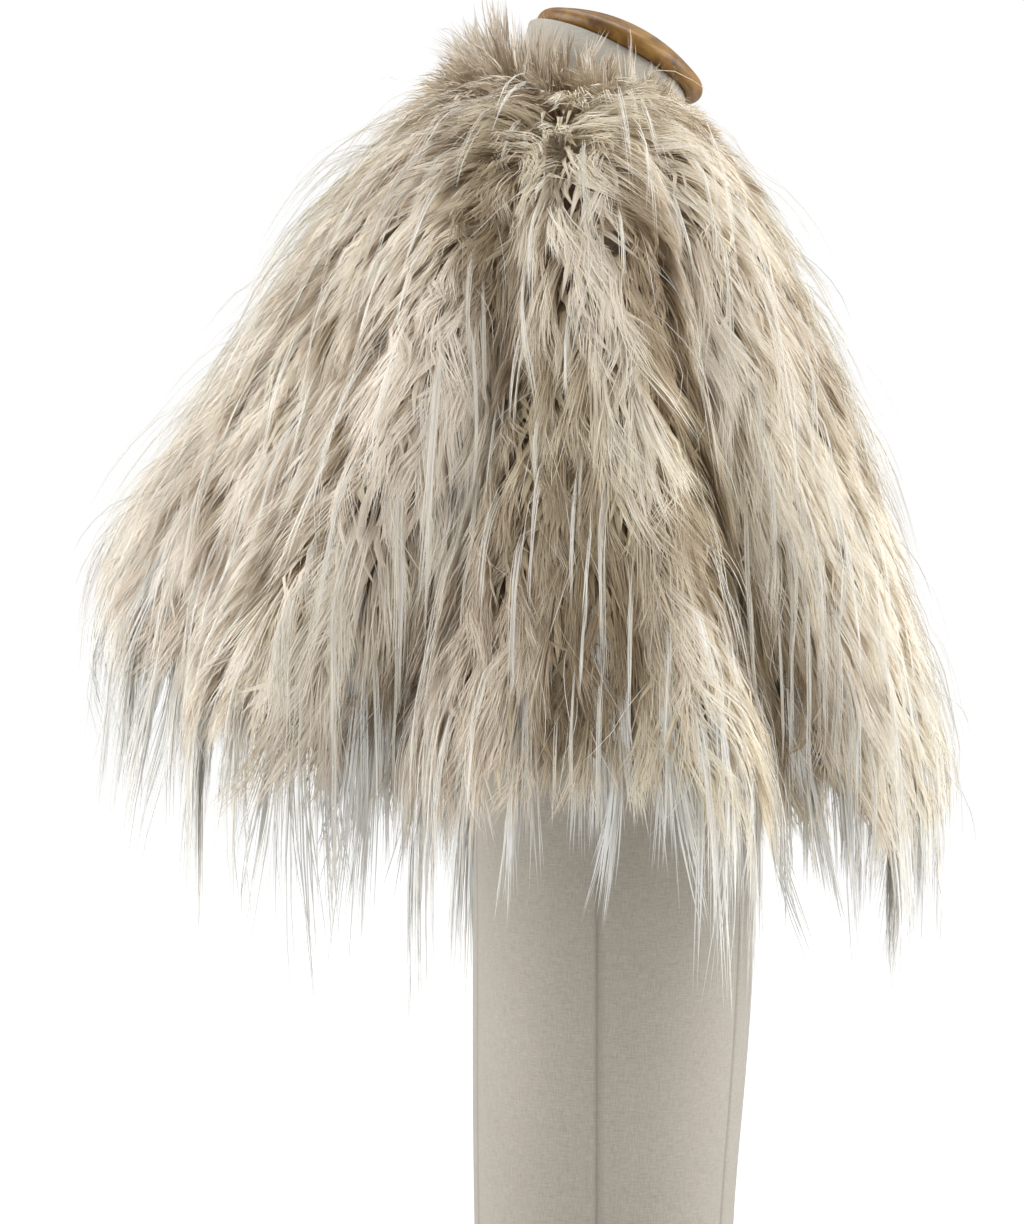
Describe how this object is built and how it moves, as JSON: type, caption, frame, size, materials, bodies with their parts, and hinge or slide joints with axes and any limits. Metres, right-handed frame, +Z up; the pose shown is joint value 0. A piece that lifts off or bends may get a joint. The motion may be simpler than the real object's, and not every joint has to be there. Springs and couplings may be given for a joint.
{
  "type": "faux fur shrug on a dress form",
  "caption": "Short flared faux fur shrug with long pile and hanging guard hair, open edge to edge at the front, resting on the shoulders of a limbless linen dress form with a wooden neck cap.",
  "frame": {"origin": "centre of the dress form's flat base, on the surface that it stands on", "axes": "+Z up; the form faces -Y, its right side is -X and its left side is +X"},
  "size_m": [0.6191, 0.4988, 0.811],
  "materials": {
    "fur_backing": "matte",
    "fur_pile": "matte",
    "linen": "matte",
    "wood": "gloss"
  },
  "bodies": {
    "root": {"front_right": "fur_backing", "front_left": "fur_backing", "side_right": "fur_backing", "side_left": "fur_backing", "back": "fur_backing", "pile_front_right": "fur_pile", "pile_front_left": "fur_pile", "pile_side_right": "fur_pile", "pile_side_left": "fur_pile", "pile_back": "fur_pile", "form_body": "linen", "neck_cap": "wood"}
  },
  "joints": []
}
